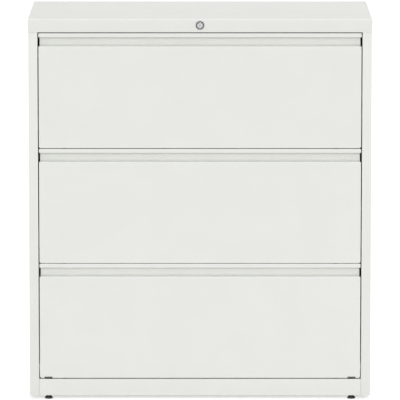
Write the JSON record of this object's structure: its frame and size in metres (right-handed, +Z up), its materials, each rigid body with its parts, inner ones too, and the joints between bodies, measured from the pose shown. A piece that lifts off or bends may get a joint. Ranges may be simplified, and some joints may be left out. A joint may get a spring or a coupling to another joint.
{
  "type": "lateral filing cabinet",
  "caption": "Wide low sheet-steel filing cabinet with full-width recessed pulls, drawers on telescopic slides, a key lock in its top cap and levelling glides.",
  "frame": {"origin": "centre of the bounding box on the floor, under the levelling glides", "axes": "+Z up, +Y from the drawer fronts to the back panel, +X to the right of a person facing the drawers"},
  "size_m": [0.9144, 0.477, 1.0223],
  "materials": {
    "white_paint": "off-white powder coat, low sheen, very fine texture",
    "zinc": "zinc-plated steel",
    "chrome": "satin chrome",
    "black_plastic": "moulded black nylon",
    "raw_steel": "raw slab"
  },
  "bodies": {
    "case": {"top_cap": "white_paint", "back_panel": "white_paint", "left_side_panel": "white_paint", "right_side_panel": "white_paint", "base_front_rail": "white_paint", "base_rear_rail": "white_paint", "base_pan": "white_paint", "counterweight": "raw_steel", "left_front_post": "white_paint", "left_rear_post": "white_paint", "right_front_post": "white_paint", "right_rear_post": "white_paint", "lock_housing": "chrome", "lock_nut": "zinc", "lock_link_guide": "zinc", "drawer_1_left_slide_outer": "zinc", "drawer_1_right_slide_outer": "zinc", "drawer_2_left_slide_outer": "zinc", "drawer_2_right_slide_outer": "zinc", "drawer_3_left_slide_outer": "zinc", "drawer_3_right_slide_outer": "zinc"},
    "drawer_1": {"drawer_1_front": "white_paint", "drawer_1_tray": "white_paint", "drawer_1_left_wall": "white_paint", "drawer_1_right_wall": "white_paint", "drawer_1_front_hang_rail": "zinc", "drawer_1_rear_hang_rail": "zinc", "drawer_1_left_slide_inner": "zinc", "drawer_1_right_slide_inner": "zinc"},
    "drawer_2": {"drawer_2_front": "white_paint", "drawer_2_tray": "white_paint", "drawer_2_left_wall": "white_paint", "drawer_2_right_wall": "white_paint", "drawer_2_front_hang_rail": "zinc", "drawer_2_rear_hang_rail": "zinc", "drawer_2_left_slide_inner": "zinc", "drawer_2_right_slide_inner": "zinc"},
    "drawer_3": {"drawer_3_front": "white_paint", "drawer_3_tray": "white_paint", "drawer_3_left_wall": "white_paint", "drawer_3_right_wall": "white_paint", "drawer_3_front_hang_rail": "zinc", "drawer_3_rear_hang_rail": "zinc", "drawer_3_left_slide_inner": "zinc", "drawer_3_right_slide_inner": "zinc"},
    "drawer_1_middle_members": {"drawer_1_left_slide_middle": "zinc", "drawer_1_right_slide_middle": "zinc"},
    "drawer_2_middle_members": {"drawer_2_left_slide_middle": "zinc", "drawer_2_right_slide_middle": "zinc"},
    "drawer_3_middle_members": {"drawer_3_left_slide_middle": "zinc", "drawer_3_right_slide_middle": "zinc"},
    "lock_core": {"lock_plug": "chrome", "lock_cam": "zinc"},
    "lock_link": {"lock_link": "zinc"},
    "lock_bar": {"lock_bar": "zinc"},
    "left_front_glide": {"left_front_glide": "black_plastic"},
    "left_rear_glide": {"left_rear_glide": "black_plastic"},
    "right_front_glide": {"right_front_glide": "black_plastic"},
    "right_rear_glide": {"right_rear_glide": "black_plastic"}
  },
  "joints": [
    {"name": "drawer_1_slide", "type": "slide", "parent": "case", "child": "drawer_1", "axis": [0, -1, 0], "range_m": [0, 0.42]},
    {"name": "drawer_2_slide", "type": "slide", "parent": "case", "child": "drawer_2", "axis": [0, -1, 0], "range_m": [0, 0.42]},
    {"name": "drawer_3_slide", "type": "slide", "parent": "case", "child": "drawer_3", "axis": [0, -1, 0], "range_m": [0, 0.42]},
    {"name": "middle_members_1_slide", "type": "slide", "parent": "case", "child": "drawer_1_middle_members", "axis": [0, -1, 0], "range_m": [0, 0.21]},
    {"name": "middle_members_2_slide", "type": "slide", "parent": "case", "child": "drawer_2_middle_members", "axis": [0, -1, 0], "range_m": [0, 0.21]},
    {"name": "middle_members_3_slide", "type": "slide", "parent": "case", "child": "drawer_3_middle_members", "axis": [0, -1, 0], "range_m": [0, 0.21]},
    {"name": "lock_turn", "type": "hinge", "parent": "case", "child": "lock_core", "pos_m": [0, -0.2345, 1.0055], "axis": [0, -1, 0], "range_deg": [0, 90]},
    {"name": "lock_link_slide", "type": "slide", "parent": "case", "child": "lock_link", "axis": [1, 0, 0], "range_m": [0, 0.018]},
    {"name": "lock_bar_lift", "type": "slide", "parent": "case", "child": "lock_bar", "axis": [0, 0, 1], "range_m": [0, 0.018]},
    {"name": "turn_left_front_glide", "type": "hinge", "parent": "case", "child": "left_front_glide", "pos_m": [-0.405, -0.218, 0], "axis": [0, 0, 1], "continuous": true},
    {"name": "turn_left_rear_glide", "type": "hinge", "parent": "case", "child": "left_rear_glide", "pos_m": [-0.405, 0.2211, 0], "axis": [0, 0, 1], "continuous": true},
    {"name": "turn_right_front_glide", "type": "hinge", "parent": "case", "child": "right_front_glide", "pos_m": [0.405, -0.218, 0], "axis": [0, 0, 1], "continuous": true},
    {"name": "turn_right_rear_glide", "type": "hinge", "parent": "case", "child": "right_rear_glide", "pos_m": [0.405, 0.2211, 0], "axis": [0, 0, 1], "continuous": true}
  ],
  "couplings": [
    {"joint": "middle_members_1_slide", "follows": "drawer_1_slide", "ratio": 0.5},
    {"joint": "middle_members_2_slide", "follows": "drawer_2_slide", "ratio": 0.5},
    {"joint": "middle_members_3_slide", "follows": "drawer_3_slide", "ratio": 0.5},
    {"joint": "lock_link_slide", "follows": "lock_bar_lift", "ratio": 1},
    {"joint": "lock_turn", "follows": "lock_bar_lift", "rad_per_m": 87.26}
  ]
}
